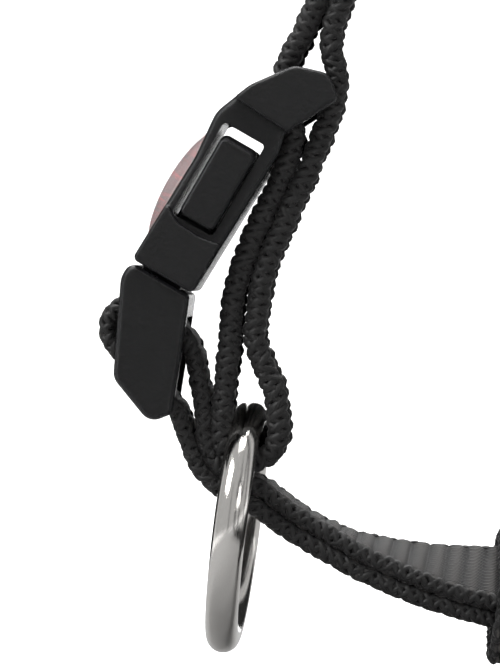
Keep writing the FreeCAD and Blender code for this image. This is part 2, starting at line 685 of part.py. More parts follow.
def cheek_route():
    """The left cheek strap: from its turn round the ring up to the neck strap that it is sewn to."""
    ring_middle = Vector(
        dim("head_middle") - dim("cheek_ring_side"), -dim("nose_forward"), dim("cheek_ring_height"),
    )
    rise = math.radians(dim("cheek_strap_rise"))
    outward, wide = Vector(0, math.cos(rise), math.sin(rise)), Vector(0, -math.sin(rise), math.cos(rise))
    points = [
        ring_middle + Vector(x, 0, 0) + outward * (dim("cheek_ring_radius") + reach)
        for x, reach in hook(dim("cheek_strap_width"))
    ]
    widthwise = [wide] * len(points)
    along_neck = Vector(0.787, 0, 0.617)
    lift = Vector(-0.617, 0, 0.787) * (dim("webbing_thickness") + 0.25)
    sewn = Vector(38.0, 0, 76.5) + lift
    points += [
        Vector(37.4, -46.0, 33.0), Vector(37.2, -32.0, 52.0), Vector(37.1, -18.0, 70.5),
        sewn + Vector(0, -8.4, 0), sewn, sewn + Vector(0, 7.2, 0),
    ]
    widthwise += [
        Vector(0.2, -0.5, 0.8), Vector(0.45, -0.45, 0.7), Vector(0.75, -0.15, 0.62),
        along_neck, along_neck, along_neck,
    ]
    return points, [direction.normalize() * dim("cheek_strap_width") for direction in widthwise]


def cheek_straps():
    """One cheek strap at each side."""
    shape = twisted_band(*cheek_route(), step=1.3)
    middle = Vector(dim("head_middle"), 0, 0)
    strap("cheek_strap_left", shape)
    strap("cheek_strap_right", shape.mirror(middle, Vector(1, 0, 0)))


# ---------------------------------------------------------------- stitching

def on_face(points, index, across, side):
    """Where a bar tack lies on a strap's face: its middle, along and across."""
    count = len(points)
    index %= count
    along = (points[min(index + 1, count - 1)] - points[max(index - 1, 0)]).normalize()
    across = across * side
    lift = dim("webbing_thickness") / 2 + dim("stitch_lift")
    return points[index] + along.cross(across) * lift, along, across


def tacks(label, places):
    """A group of bar tacks."""
    blocks = []
    for middle, along, across in places:
        block = Part.makeBox(
            dim("tack_length"), dim("tack_width"), dim("stitch_height"),
            Vector(-dim("tack_length") / 2, -dim("tack_width") / 2, 0),
        )
        face = along.cross(across)
        block.Placement = Placement(FreeCAD.Matrix(
            along.x, across.x, face.x, middle.x, along.y, across.y, face.y, middle.y,
            along.z, across.z, face.z, middle.z, 0, 0, 0, 1,
        ))
        blocks.append(block)
    item = doc.addObject("Part::Feature", label)
    item.Shape = Part.makeCompound(blocks)
    return finish(item, label)


def stitching():
    """Bar tacks where a strap is sewn to itself or to another."""
    jaw = jaw_route()
    tacks("jaw_stitching", [on_face(jaw, index, Vector(1, 0, 0), 1) for index in (12, 14)])
    tacks("neck_stitching", [on_face(NECK_OUTER, 15, ACROSS, 1), on_face(NECK_OUTER, 16, ACROSS, 1)])


BUILDERS = (
    neck_loop, lead_ring, buckle_female, buckle_male, badge, tail_keeper, jaw_strap,
    jaw_slider, nose_parts, cheek_rings, cheek_straps, stitching,
)


def build():
    """Make every sub-part, check them all, and write them."""
    for builder in BUILDERS:
        builder()
    release_arm("release_arm_front", -1)
    release_arm("release_arm_rear", 1)
    doc.recompute()
    for item in doc.Objects:
        assert not {"Invalid", "Error"} & set(item.State), f"{item.Label} is {item.State}"
    os.makedirs("parts", exist_ok=True)
    whole = FreeCAD.BoundBox()
    for item in SUBPARTS:
        assert not item.Shape.isNull() and item.Shape.isValid(), f"{item.Label} is not valid"
        whole.add(item.Shape.BoundBox)
        item.Shape.exportStep(f"parts/{item.Label}.step")
        print(f"{item.Label}: {item.Shape.Volume:.1f} mm3, {len(item.Shape.Solids)} solid(s)")
    print(f"box x {whole.XMin:.4f}..{whole.XMax:.4f} y {whole.YMin:.4f}..{whole.YMax:.4f}"
          f" z {whole.ZMin:.4f}..{whole.ZMax:.4f}")


build()
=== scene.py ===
import math

import bpy
import numpy as np
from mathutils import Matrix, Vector


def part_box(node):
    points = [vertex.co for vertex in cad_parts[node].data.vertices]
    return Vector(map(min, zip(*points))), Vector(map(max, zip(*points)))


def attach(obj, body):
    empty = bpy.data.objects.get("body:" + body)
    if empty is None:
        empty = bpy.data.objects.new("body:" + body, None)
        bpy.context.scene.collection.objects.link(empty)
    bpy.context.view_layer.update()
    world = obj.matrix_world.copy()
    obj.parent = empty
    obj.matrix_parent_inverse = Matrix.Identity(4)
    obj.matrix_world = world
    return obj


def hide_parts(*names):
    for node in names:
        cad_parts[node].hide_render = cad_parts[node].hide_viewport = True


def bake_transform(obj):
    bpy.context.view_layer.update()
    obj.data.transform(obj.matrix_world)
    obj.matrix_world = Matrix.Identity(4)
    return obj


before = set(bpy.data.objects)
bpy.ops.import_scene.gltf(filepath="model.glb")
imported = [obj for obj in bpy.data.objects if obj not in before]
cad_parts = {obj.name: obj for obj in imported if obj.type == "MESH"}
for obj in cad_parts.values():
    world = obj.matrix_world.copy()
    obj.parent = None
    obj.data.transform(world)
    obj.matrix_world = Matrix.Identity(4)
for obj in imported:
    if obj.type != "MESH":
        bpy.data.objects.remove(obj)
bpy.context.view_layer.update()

# A dog's head halter in black nylon webbing, with a side release buckle and a polished lead ring.
# Straps are woven here along the routes of the CAD model: a ribbed band with a plaited edge at each
# side. Routes are in millimetres from a datum beside the buckle, on the neck loop's plane.

MM = 0.001
HEAD_MIDDLE, NOSE_FORWARD, CHIN_LEVEL = 72.0, 85.0, -35.75
STRAP_WIDTH, CHEEK_WIDTH, THICKNESS = 14.6, 10.0, 1.7
RIB_PITCH, PLAIT_PITCH, NECK_BULK = 2.1, 3.6, 2.75
LAYER_PITCH, TWIST, TAIL_END = 2.03, 23.0, 58.0
CHEEK_SIDE, CHEEK_HEIGHT = 33.0, 10.0
CHEEK_RADIUS, CHEEK_WIRE, TURN_GAP = 14.5, 1.5, 0.35
NEAR_EDGE = -7.3
CAMERA_DISTANCE, FRAME_WIDTH = 0.7, 0.0565  # metres, at the straps' near edge


def ring_middle(name):
    """The middle of a CAD node's box."""
    low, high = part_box(name)
    return (Vector(low) + Vector(high)) / 2


DATUM = (ring_middle("cheek_ring_left") + ring_middle("cheek_ring_right")) / 2
DATUM -= Vector((HEAD_MIDDLE, -NOSE_FORWARD, CHEEK_HEIGHT)) * MM

# ---------------------------------------------------------------- camera, floor and light


def camera():
    """The camera, level with the buckle and facing the straps' edges."""
    turn, height = math.radians(1.6), math.radians(0.6)
    back = Vector((
        math.sin(turn) * math.cos(height), -math.cos(turn) * math.cos(height), math.sin(height),
    ))
    data = bpy.data.cameras.new("camera")
    data.sensor_fit = "HORIZONTAL"
    data.sensor_width = 36.0
    data.lens = data.sensor_width * CAMERA_DISTANCE / FRAME_WIDTH
    data.clip_start = 0.02
    item = bpy.data.objects.new("camera", data)
    item.location = DATUM + Vector((0, NEAR_EDGE, 0)) * MM
    item.location += back * (CAMERA_DISTANCE + NEAR_EDGE * MM)
    item.rotation_euler = back.to_track_quat("Z", "Y").to_euler()
    bpy.context.scene.collection.objects.link(item)
    bpy.context.scene.camera = item


def area_light(name, place, size, power):
    """A soft light that faces the halter."""
    data = bpy.data.lights.new(name, "AREA")
    data.shape = "RECTANGLE"
    data.size, data.size_y = size
    data.energy = power
    item = bpy.data.objects.new(name, data)
    item.location = place
    item.rotation_euler = (Vector(place) - DATUM).to_track_quat("Z", "Y").to_euler()
    item.visible_camera = False
    bpy.context.scene.collection.objects.link(item)


def studio_surface(name, corners, faces, colour):
    """A plain matt surface of the studio."""
    mesh = bpy.data.meshes.new(name)
    mesh.from_pydata(corners, [], faces)
    mesh.polygons.foreach_set("use_smooth", [True] * len(faces))
    item = bpy.data.objects.new(name, mesh)
    bpy.context.scene.collection.objects.link(item)
    surface = bpy.data.materials.new(name)
    surface.use_nodes = True
    shader = surface.node_tree.nodes["Principled BSDF"]
    shader.inputs["Base Color"].default_value = (*colour, 1)
    shader.inputs["Roughness"].default_value = 0.9
    shader.inputs["Specular IOR Level"].default_value = 0.1
    mesh.materials.append(surface)
    return item


def studio_flag(name, corners, grey):
    """A grey panel that only mirrors show."""
    flag = studio_surface(name, corners, [(0, 1, 2, 3)], (grey, grey, grey))
    flag.visible_camera = False
    flag.visible_diffuse = False
    flag.visible_shadow = False
    flag.visible_transmission = False


def studio():
    """A pale floor that sweeps up behind the halter, soft lights, and flags that the metal mirrors."""
    line = [(-6.0, -0.001), (0.9, -0.001)]
    line += [
        (0.9 + 0.8 * math.sin(k * math.pi / 24), 0.8 - 0.8 * math.cos(k * math.pi / 24))
        for k in range(1, 13)
    ]
    line.append((1.7, 5.0))
    corners = [(x, y, z) for y, z in line for x in (-6.0, 6.0)]
    faces = [(2 * k, 2 * k + 1, 2 * k + 3, 2 * k + 2) for k in range(len(line) - 1)]
    studio_surface("floor", corners, faces, (0.93, 0.93, 0.93))
    flags = (
        ("flag_left", -0.5, 0.3, 0.36), ("flag_right", 0.0, 0.3, 0.4),
        ("flag_front", -0.17, -0.45, 0.035),
    )
    for name, x, y, wide in flags:
        studio_flag(name, [
            (x, y, 0.002), (x + wide, y, 0.002), (x + wide, y, 0.45), (x, y, 0.45),
        ], 0.012)
    studio_flag("floor_shade", [
        (-0.45, -0.7, -0.0008), (0.4, -0.7, -0.0008), (0.4, 0.7, -0.0008), (-0.45, 0.7, -0.0008),
    ], 0.2)
    world = bpy.data.worlds.new("studio")
    world.use_nodes = True
    world.node_tree.nodes["Background"].inputs["Color"].default_value = (1, 1, 1, 1)
    world.node_tree.nodes["Background"].inputs["Strength"].default_value = 0.45
    bpy.context.scene.world = world
    bpy.context.scene.view_settings.view_transform = "Standard"
    area_light("key", (-0.85, -0.5, 0.95), (0.5, 0.5), 12)
    area_light("fill", (0.9, -0.9, 0.6), (0.5, 0.5), 2.5)
    area_light("top", (0.15, 0.1, 1.2), (0.6, 0.6), 9)
    area_light("backdrop", (0.0, 0.85, 2.4), (2.5, 0.8), 75)
    bpy.data.objects["backdrop"].rotation_euler = (math.radians(-18), 0, 0)


# ---------------------------------------------------------------- materials

class Nodes:
    """Short calls for a material's node tree."""

    def __init__(self, name):
        self.material = bpy.data.materials.new(name)
        self.material.use_nodes = True
        self.tree = self.material.node_tree
        self.shader = self.tree.nodes["Principled BSDF"]

    def add(self, kind, **settings):
        node = self.tree.nodes.new("ShaderNode" + kind)
        for key, value in settings.items():
            setattr(node, key, value)
        return node

    def feed(self, source, socket):
        """Link an output, or set a plain value."""
        if isinstance(source, bpy.types.NodeSocket):
            self.tree.links.new(source, socket)
        elif source is not None:
            socket.default_value = source

    def math(self, operation, *values):
        node = self.add("Math", operation=operation)
        for value, socket in zip(values, node.inputs):
            self.feed(value, socket)
        return node.outputs[0]

    def spread(self, value, low, high, out_low=0.0, out_high=1.0):
        """Map a range smoothly onto another."""
        node = self.add("MapRange", interpolation_type="SMOOTHSTEP")
        for source, socket in zip((value, low, high, out_low, out_high), node.inputs):
            self.feed(source, socket)
        return node.outputs[0]

    def noise(self, scale, detail=3.0, roughness=0.55, vector=None):
        node = self.add("TexNoise")
        self.feed(vector, node.inputs["Vector"])
        node.inputs["Scale"].default_value = scale
        node.inputs["Detail"].default_value = detail
        node.inputs["Roughness"].default_value = roughness
        return node.outputs["Fac"]

    def place(self):
        """Coordinates on the object, in metres."""
        return self.add("TexCoord").outputs["Object"]

    def stretched(self, factors):
        """Object coordinates, scaled by a factor along each axis."""
        node = self.add("Mapping")
        self.feed(self.place(), node.inputs["Vector"])
        node.inputs["Scale"].default_value = factors
        return node.outputs["Vector"]

    def ramp(self, value, *stops):
        node = self.add("ValToRGB")
        self.feed(value, node.inputs["Fac"])
        elements = node.color_ramp.elements
        while len(elements) < len(stops):
            elements.new(0.5)
        for element, (position, colour) in zip(elements, stops):
            element.position = position
            element.color = (*colour, 1)
        return node.outputs["Color"]

    def bump(self, height, distance, strength=1.0, normal=None):
        node = self.add("Bump")
        self.feed(height, node.inputs["Height"])
        node.inputs["Distance"].default_value = distance
        self.feed(strength, node.inputs["Strength"])
        self.feed(normal, node.inputs["Normal"])
        return node.outputs["Normal"]

    def finish(self, colour=None, normal=None, roughness=None, **constants):
        """Connect the shader and set its constant values."""
        self.feed(colour, self.shader.inputs["Base Color"])
        self.feed(normal, self.shader.inputs["Normal"])
        self.feed(roughness, self.shader.inputs["Roughness"])
        for key, value in constants.items():
            self.shader.inputs[key.replace("_", " ")].default_value = value
        return self.material


def strap_coordinates(nodes):
    """Where a point lies on its strap: along it and across it, in millimetres."""
    node = nodes.add("Attribute", attribute_name="strap")
    split = nodes.add("SeparateXYZ")
    nodes.tree.links.new(node.outputs["Vector"], split.inputs[0])
    return split.outputs[0], split.outputs[1]


def ribbed_nylon(name):
    """A webbing's face: ribs across it, made of fine yarns that run along it in short floats."""
    nodes = Nodes(name)
    along, across = strap_coordinates(nodes)
    yarn = nodes.math("DIVIDE", across, 0.46)
    number = nodes.math("FLOOR", yarn)
    part = nodes.math("FRACT", yarn)
    round_yarn = nodes.math("POWER", nodes.math("SINE", nodes.math("MULTIPLY", part, math.pi)), 0.6)
    parity = nodes.math("MODULO", nodes.math("ABSOLUTE", number), 2.0)
    shifted = nodes.math("ADD", along, nodes.math("MULTIPLY", parity, 0.34))
    wave = nodes.math("SINE", nodes.math("MULTIPLY", shifted, math.pi / RIB_PITCH))
    float_top = nodes.math("POWER", nodes.math("ABSOLUTE", wave), 0.8)
    patches = nodes.noise(420, 3)
    lit = nodes.math("MULTIPLY", float_top, nodes.math("MULTIPLY_ADD", round_yarn, 0.45, 0.55))
    lit = nodes.math("ADD", lit, nodes.math("MULTIPLY", nodes.math("SUBTRACT", patches, 0.5), 0.45))
    colour = nodes.ramp(
        lit, (0.3, (0.002, 0.002, 0.0021)), (0.62, (0.014, 0.0135, 0.0135)),
        (0.95, (0.042, 0.039, 0.037)),
    )
    height = nodes.math("ADD", nodes.math("MULTIPLY", round_yarn, 0.7), float_top)
    normal = nodes.bump(height, 0.00022, 1.0)
    fibres = nodes.noise(9000, 2)
    normal = nodes.bump(fibres, 0.00002, 0.5, normal)
    roughness = nodes.spread(patches, 0.3, 0.7, 0.5, 0.68)
    return nodes.finish(
        colour, normal, roughness, Sheen_Weight=0.03, Sheen_Roughness=0.4, Specular_IOR_Level=0.22,
    )


def plaited_yarn(name):
    """The bulky yarns along a webbing's edges."""
    nodes = Nodes(name)
    along, around = strap_coordinates(nodes)
    joined = nodes.add("CombineXYZ")
    nodes.feed(nodes.math("MULTIPLY", along, 0.9), joined.inputs[0])
    nodes.feed(nodes.math("MULTIPLY", around, 9.0), joined.inputs[1])
    filaments = nodes.noise(1.0, 3, vector=joined.outputs[0])
    lumps = nodes.noise(900, 2)
    value = nodes.math(
        "ADD", nodes.math("MULTIPLY", lumps, 0.8), nodes.math("MULTIPLY", filaments, 0.4),
    )
    colour = nodes.ramp(
        value, (0.38, (0.0025, 0.0025, 0.0026)), (0.62, (0.0095, 0.0093, 0.0094)),
        (0.85, (0.034, 0.0325, 0.0315)),
    )
    normal = nodes.bump(filaments, 0.00009, 0.9)
    return nodes.finish(
        colour, normal, 0.48, Sheen_Weight=0.05, Sheen_Roughness=0.4, Specular_IOR_Level=0.3,
    )


def moulded_plastic(name):
    """Black buckle plastic: leather grain on its flat sides, smoother and glossier on its edges."""
    nodes = Nodes(name)
    geometry = nodes.add("NewGeometry")
    split = nodes.add("SeparateXYZ")
    nodes.tree.links.new(geometry.outputs["Normal"], split.inputs[0])
    side = nodes.spread(nodes.math("ABSOLUTE", split.outputs[1]), 0.8, 0.97)
    cells = nodes.add("TexVoronoi", feature="SMOOTH_F1")
    cells.inputs["Scale"].default_value = 2600
    cells.inputs["Smoothness"].default_value = 0.6
    warped = nodes.add("VectorMath", operation="ADD")
    nodes.tree.links.new(nodes.place(), warped.inputs[0])
    drift = nodes.add("TexNoise")
    drift.inputs["Scale"].default_value = 1400
    shrink = nodes.add("VectorMath", operation="SCALE")
    shrink.inputs["Scale"].default_value = 0.0004
    nodes.tree.links.new(drift.outputs["Color"], shrink.inputs[0])
    nodes.tree.links.new(shrink.outputs[0], warped.inputs[1])
    nodes.tree.links.new(warped.outputs[0], cells.inputs["Vector"])
    fine = nodes.math("MULTIPLY", nodes.noise(3800, 4), 0.6)
    grain = nodes.math("ADD", cells.outputs["Distance"], fine)
    bevel = nodes.add("Bevel", samples=4)
    bevel.inputs["Radius"].default_value = 0.0004
    strength = nodes.math("MULTIPLY_ADD", side, 0.75, 0.15)
    normal = nodes.bump(grain, 0.0003, strength, bevel.outputs[0])
    scuffs = nodes.noise(700, 5, 0.7, nodes.stretched((1.0, 0.5, 0.16)))
    worn = nodes.spread(scuffs, 0.6, 0.75)
    roughness = nodes.math(
        "ADD", nodes.math("MULTIPLY_ADD", side, 0.14, 0.26), nodes.math("MULTIPLY", worn, 0.14),
    )
    tone = nodes.math(
        "ADD", nodes.math("MULTIPLY", worn, 0.3), nodes.math("MULTIPLY", nodes.noise(260, 3), 0.6),
    )
    colour = nodes.ramp(
        tone, (0.2, (0.0055, 0.0055, 0.006)), (0.75, (0.016, 0.016, 0.0175)),
    )
    return nodes.finish(colour, normal, roughness, Specular_IOR_Level=0.32)


def polished_metal(name):
    """Polished nickel with faint drawing marks."""
    nodes = Nodes(name)
    marks = nodes.noise(900, 4, 0.6)
    blotches = nodes.noise(120, 3)
    normal = nodes.bump(marks, 0.000006, 0.5)
    roughness = nodes.spread(blotches, 0.35, 0.7, 0.05, 0.13)
    colour = nodes.ramp(blotches, (0.3, (0.78, 0.76, 0.73)), (0.7, (0.86, 0.84, 0.81)))
    return nodes.finish(colour, normal, roughness, Metallic=1.0)


def badge_clear(name):
    """A clear cast resin dome."""
    nodes = Nodes(name)
    haze = nodes.noise(500, 3)
    roughness = nodes.spread(haze, 0.3, 0.7, 0.04, 0.1)
    colour = nodes.ramp(haze, (0.3, (0.86, 0.83, 0.83)), (0.7, (0.92, 0.9, 0.9)))
    return nodes.finish(colour, None, roughness, IOR=1.48, Transmission_Weight=0.85)


def badge_colour(name):
    """The plain red oval under the dome."""
    nodes = Nodes(name)
    grain = nodes.noise(1500, 3)
    colour = nodes.ramp(grain, (0.3, (0.5, 0.03, 0.04)), (0.7, (0.62, 0.06, 0.07)))
    return nodes.finish(colour, nodes.bump(grain, 0.00001, 0.4), 0.45)


def soft_knit(name):
    """The noseband's brushed padding."""
    nodes = Nodes(name)
    along = strap_coordinates(nodes)[0]
    rows = nodes.math("SINE", nodes.math("MULTIPLY", along, 2 * math.pi / 0.9))
    cells = nodes.add("TexVoronoi")
    cells.inputs["Scale"].default_value = 1500
    fluff = nodes.noise(2600, 4, 0.7)
    value = nodes.math("ADD", fluff, nodes.math("MULTIPLY", rows, 0.08))
    colour = nodes.ramp(value, (0.3, (0.008, 0.008, 0.0085)), (0.75, (0.034, 0.033, 0.033)))
    height = nodes.math("ADD", nodes.math("MULTIPLY", cells.outputs["Distance"], 0.6), fluff)
    normal = nodes.bump(height, 0.0002, 0.6)
    return nodes.finish(colour, normal, 0.85, Sheen_Weight=0.4, Sheen_Roughness=0.5)


def sewing_thread(name):
    """Bonded thread, slightly shiny."""
    nodes = Nodes(name)
    ply = nodes.noise(6000, 2)
    colour = nodes.ramp(ply, (0.3, (0.008, 0.008, 0.009)), (0.7, (0.04, 0.04, 0.042)))
    return nodes.finish(colour, nodes.bump(ply, 0.00004, 0.6), 0.42, Sheen_Weight=0.1)


# ---------------------------------------------------------------- routes

def smooth_route(points, step):
    """A smooth line through rows of numbers: Hermite spans with chord length knots."""
    rows = np.array(points, float)
    reach = np.linalg.norm(np.diff(rows[:, :3], axis=0), axis=1)
    rates = np.diff(rows, axis=0) / reach[:, None]
    slopes = np.empty_like(rows)
    slopes[0], slopes[-1] = rates[0], rates[-1]
    back, ahead = reach[:-1, None], reach[1:, None]
    slopes[1:-1] = (rates[1:] * back + rates[:-1] * ahead) / (back + ahead)
    samples = []
    for i, length in enumerate(reach):
        count = max(2, int(math.ceil(length / step)))
        u = (np.arange(count) / count)[:, None]
        samples.append(
            (2 * u**3 - 3 * u**2 + 1) * rows[i] + (u**3 - 2 * u**2 + u) * length * slopes[i]
            + (3 * u**2 - 2 * u**3) * rows[i + 1] + (u**3 - u**2) * length * slopes[i + 1]
        )
    samples.append(rows[-1:])
    return np.vstack(samples)


def flat(pairs, depth=0.0):
    """Points of a route in the neck loop's plane, or in a plane beside it."""
    return [(x, depth, z) for x, z in pairs]


def mirrored(points):
    """The same route on the other side of the head."""
    return [(2 * HEAD_MIDDLE - x, *rest) for x, *rest in points]


NECK_INNER = flat([
    (0.5, -0.4), (0.9, 3.2), (1.3, 5.9), (2.5, 9.4), (4.0, 12.9), (5.2, 15.5), (6.2, 17.6),
    (7.1, 20.0), (8.1, 22.4), (9.0, 24.8), (9.6, 27.2), (9.6, 29.5), (9.1, 31.6), (9.1, 33.6),
    (10.2, 37.0), (12.6, 42.6), (17.0, 51.5), (24.0, 62.5),
])
NECK_OUTER = flat([
    (-2.3, -0.4), (-2.1, 2.7), (-1.6, 5.4), (-0.3, 9.4), (1.0, 12.5), (2.1, 14.7), (3.4, 17.5),
    (4.3, 19.9), (4.8, 22.3), (4.2, 24.6), (3.6, 26.9), (3.7, 29.0), (4.6, 31.2), (5.7, 33.2),
    (7.4, 37.0), (10.4, 43.0), (15.1, 52.5), (19.0, 58.8),
])
RING_LOOP = flat([
    (-2.3, -0.4), (-2.6, -3.6), (-2.9, -6.4), (-3.2, -9.0), (-3.4, -11.0), (-2.9, -12.9),
    (-1.5, -14.0), (0.0, -14.2), (1.6, -13.9), (2.8, -12.7), (3.2, -10.9), (3.05, -8.9),
    (2.7, -6.4), (1.5, -3.6), (0.5, -0.4),
])
NECK_TOP = flat([
    (24.0, 62.5), (38.0, 76.5), (54.0, 86.0), (72.0, 89.4), (90.0, 86.0), (106.0, 76.5),
    (120.0, 62.5),
])
NECK_RIGHT = flat([
    (120.0, 62.5), (132.0, 47.0), (141.0, 29.0), (145.0, 10.0), (143.0, -8.0), (134.0, -22.5),
    (121.0, -30.8), (106.0, -34.6), (89.0, CHIN_LEVEL),
])
THROAT = flat([
    (89.0, CHIN_LEVEL), (78.0, CHIN_LEVEL), (65.5, CHIN_LEVEL), (58.5, -34.6), (52.0, -32.6),
    (46.0, -30.75), (36.0, -29.1), (25.3, -27.4), (20.8, -26.6), (16.3, -25.4), (11.8, -23.9),
    (8.4, -22.2), (5.6, -20.6), (3.4, -19.0), (1.3, -17.45),
])
BAR_TURN = flat([
    (-1.0, -16.35), (-2.7, -15.5), (-3.95, -14.45), (-4.75, -13.0), (-5.15, -11.2),
    (-5.25, -9.3), (-5.5, -7.0), (-6.0, -4.4), (-6.5, -1.9), (-7.8, 0.2), (-10.1, 1.9),
    (-12.2, 3.2), (-14.3, 3.2), (-15.8, 1.6), (-15.8, -0.5), (-14.4, -2.3), (-12.3, -4.3),
    (-10.0, -6.6), (-8.2, -8.8), (-7.4, -10.85), (-6.6, -13.1), (-5.6, -15.2), (-4.1, -16.8),
    (-2.2, -18.0),
])


def twist_at(x):
    """The throat strap's width direction, which twists towards its keeper and back again."""
    rising = min(max((x - 9.5) / 19.5, 0), 1)
    falling = min(max((62.0 - x) / 18.0, 0), 1)
    angle = math.radians(TWIST) * min(rising, falling)
    return (0.0, math.cos(angle), math.sin(angle))


def tail_points():
    """The free tail under the throat strap."""
    over = [p for p in THROAT if p[0] < TAIL_END]
    route = []
    for i, point in enumerate(over):
        along = Vector(over[min(i + 1, len(over) - 1)]) - Vector(over[max(i - 1, 0)])
        if i == len(over) - 1:
            along = Vector((-0.857, 0, 0.516))
        below = along.cross(Vector(twist_at(point[0]))).normalized()
        route.append(tuple(Vector(point) + below * LAYER_PITCH))
    return route


def hook(width):
    """A strap end that turns round a cheek ring: (across the wire, away from the ring's middle)."""
    side = CHEEK_WIRE + TURN_GAP + THICKNESS / 2
    opening = CHEEK_RADIUS - CHEEK_WIRE
    deep = CHEEK_RADIUS - math.sqrt(opening**2 - (width / 2) ** 2) + TURN_GAP + THICKNESS / 2
    return [
        (0.95, 12.5), (1.15, 10.0), (side - 0.35, 5.5), (side + 0.1, 1.5), (side, -deep + 2.6),
        (side * 0.62, -deep + 0.7), (0, -deep), (-side * 0.62, -deep + 0.7), (-side, -deep + 2.6),
        (-side - 0.1, 1.5), (-side + 0.35, 5.5), (-1.15, 10.0), (-0.95, 12.5),
    ]


def nose_routes():
    """The noseband's and the chin strap's routes."""
    left = HEAD_MIDDLE - CHEEK_SIDE
    ring_top, ring_foot = CHEEK_HEIGHT + CHEEK_RADIUS, CHEEK_HEIGHT - CHEEK_RADIUS
    turned = hook(STRAP_WIDTH)
    upper = [(left + x, ring_top + reach) for x, reach in turned]
    upper += [(left + 4.0, 45.5), (left + 15.5, 52.0), (72.0, 54.4)]
    lower = [(left + x, ring_foot - reach) for x, reach in turned]
    lower += [
        (left + 2.5, -24.0), (left + 10.5, -32.2), (left + 21.0, CHIN_LEVEL + 0.6),
        (left + 25.0, CHIN_LEVEL), (72.0, CHIN_LEVEL),
    ]
    whole = []
    for half in (flat(upper, -NOSE_FORWARD), flat(lower, -NOSE_FORWARD)):
        whole.append(half + mirrored(half)[::-1][1:])
    return whole


def cheek_route():
    """The left cheek strap's points and width directions."""
    rise = math.radians(20.0)
    outward = Vector((0, math.cos(rise), math.sin(rise)))
    wide = (0, -math.sin(rise), math.cos(rise))
    middle = Vector((HEAD_MIDDLE - CHEEK_SIDE, -NOSE_FORWARD, CHEEK_HEIGHT))
    points = [
        tuple(middle + Vector((x, 0, 0)) + outward * (CHEEK_RADIUS + reach))
        for x, reach in hook(CHEEK_WIDTH)
    ]
    directions = [wide] * len(points)
    sewn = Vector((38.0, 0, 76.5)) + Vector((-0.617, 0, 0.787)) * 1.95
    points += [(37.4, -46.0, 33.0), (37.2, -32.0, 52.0), (37.1, -18.0, 70.5)]
    points += [tuple(sewn + Vector((0, y, 0))) for y in (-8.4, 0, 7.2)]
    directions += [(0.2, -0.5, 0.8), (0.45, -0.45, 0.7), (0.75, -0.15, 0.62)]
    directions += [(0.787, 0, 0.617)] * 3
    return points, directions


def jaw_route():
    """The jaw strap's loop round the neck strap and the chin strap."""
    level, rear, front = CHIN_LEVEL, 9.4, -NOSE_FORWARD - 9.4
    low, top = level - 2.0, level + 2.0
    upper, lower = level + 3.7, level + 0.3
    slant = 2.0 * math.sqrt(0.5)

    def turn(end, side):
        centre = end - side * 2.0
        return [
            (centre - side * 1.2, low), (centre, low), (centre + side * slant, level - slant),
            (end, level), (centre + side * slant, level + slant), (centre, top),
            (centre - side * 1.2, top),
        ]

    pairs = [(0.3, low)] + turn(rear, 1) + [
        (0, top), (-8, top), (-16, top + 0.5), (-25, upper), (-42, upper), (-60, upper),
        (front + 26, top + 0.5), (front + 18, top), (front + 9, top),
    ] + turn(front, -1)[::-1] + [
        (front + 9, low), (front + 18, low), (front + 26, low + 0.8), (-60, lower), (-42, lower),
        (-25, lower), (-16, low + 0.8), (-8, low), (-0.3, low),
    ]
    return [(HEAD_MIDDLE, y, z) for y, z in pairs]


# ---------------------------------------------------------------- weaving

class Route:
    """A strap's centre line at even steps, with the directions along, across and out of its face."""

    def __init__(self, points, widthwise=None, step=0.26):
        if widthwise is None:
            widthwise = [(0.0, 1.0, 0.0)] * len(points)
        rows = smooth_route([tuple(p) + tuple(w) for p, w in zip(points, widthwise)], 0.35)
        steps = np.linalg.norm(np.diff(rows[:, :3], axis=0), axis=1)
        gone = np.concatenate([[0], np.cumsum(steps)])
        count = max(4, int(round(gone[-1] / step)) + 1)
        self.reach = np.linspace(0, gone[-1], count)
        even = np.column_stack([np.interp(self.reach, gone, rows[:, k]) for k in range(6)])
        self.middle = even[:, :3]
        along = np.gradient(self.middle, axis=0)
        kernel = np.ones(5) / 5
        padded = np.pad(along, ((2, 2), (0, 0)), mode="edge")
        along = np.column_stack([np.convolve(padded[:, k], kernel, "valid") for k in range(3)])
        self.along = along / np.linalg.norm(along, axis=1)[:, None]
        across = even[:, 3:] - self.along * np.sum(even[:, 3:] * self.along, axis=1)[:, None]
        self.across = across / np.linalg.norm(across, axis=1)[:, None]
        self.face = np.cross(self.along, self.across)

    def nearest(self, point):
        """The row nearest to a point."""
        return int(np.argmin(np.linalg.norm(self.middle - np.array(point), axis=1)))

    def cut(self, start, end):
        """A stretch of the same route. It keeps its distance along the whole."""
        part = Route.__new__(Route)
        for key, value in self.__dict__.items():
            setattr(part, key, value[start:end + 1])
        return part


def wobble(reach, seed, pitch):
    """Smooth seeded noise along a strap, from -1 to 1."""
    maker = np.random.RandomState(seed)
    count = int(max(reach) / pitch) + 4
    return np.interp(reach, np.arange(count) * pitch, maker.uniform(-1, 1, count))


def grid_faces(rows, columns, offset):
    """Quads between neighbouring closed rows of points."""
    base = np.arange(rows - 1)[:, None] * columns + np.arange(columns)[None, :]
    after = np.arange(rows - 1)[:, None] * columns + (np.arange(columns)[None, :] + 1) % columns
    quads = np.stack([base, after, after + columns, base + columns], axis=-1)
    return quads.reshape(-1, 4) + offset


